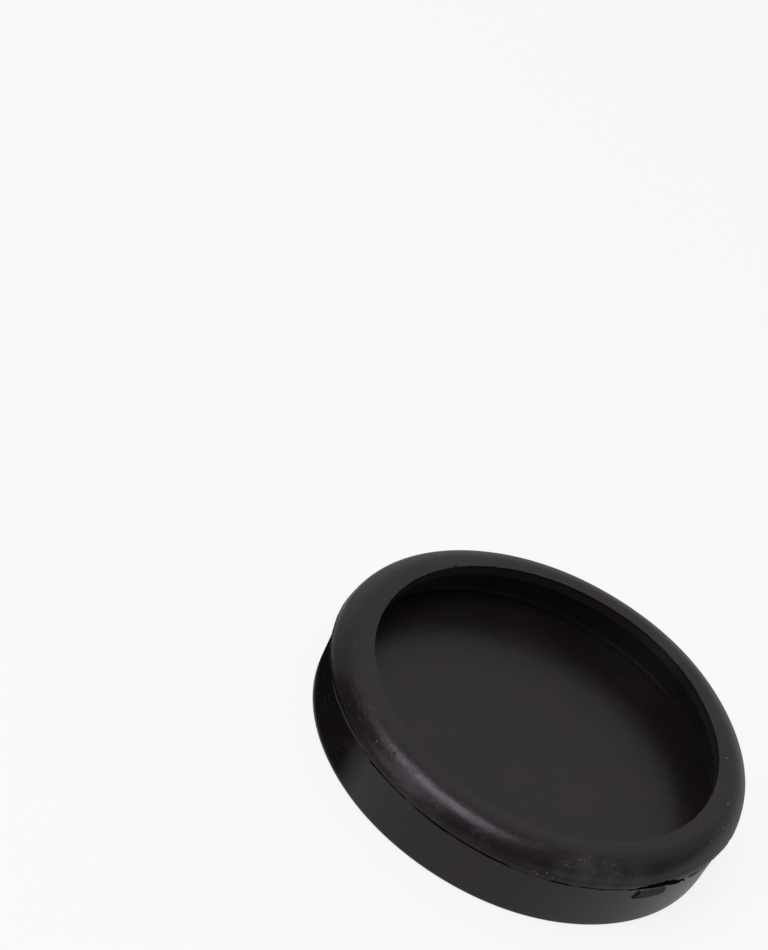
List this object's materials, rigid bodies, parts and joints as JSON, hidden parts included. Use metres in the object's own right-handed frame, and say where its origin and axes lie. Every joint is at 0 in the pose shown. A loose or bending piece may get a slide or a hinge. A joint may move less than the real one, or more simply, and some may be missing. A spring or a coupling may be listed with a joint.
{
  "type": "rubber lift pad",
  "caption": "Round slip-over rubber pad for a vehicle lift arm: a thick floor, a drafted wall and a rolled rim bead whose lip holds it on a plate.",
  "frame": {"origin": "centre of the flat outer face, which meets the load in use and on which the pad rests here", "axes": "+Z along the pad's axis, out of the mouth; the trimmed gate lies 34 degrees from +X towards -Y"},
  "size_m": [0.133, 0.133, 0.0254],
  "materials": {
    "black_rubber": "satin moulded rubber"
  },
  "bodies": {
    "root": {"lift_pad": "black_rubber"}
  },
  "joints": []
}
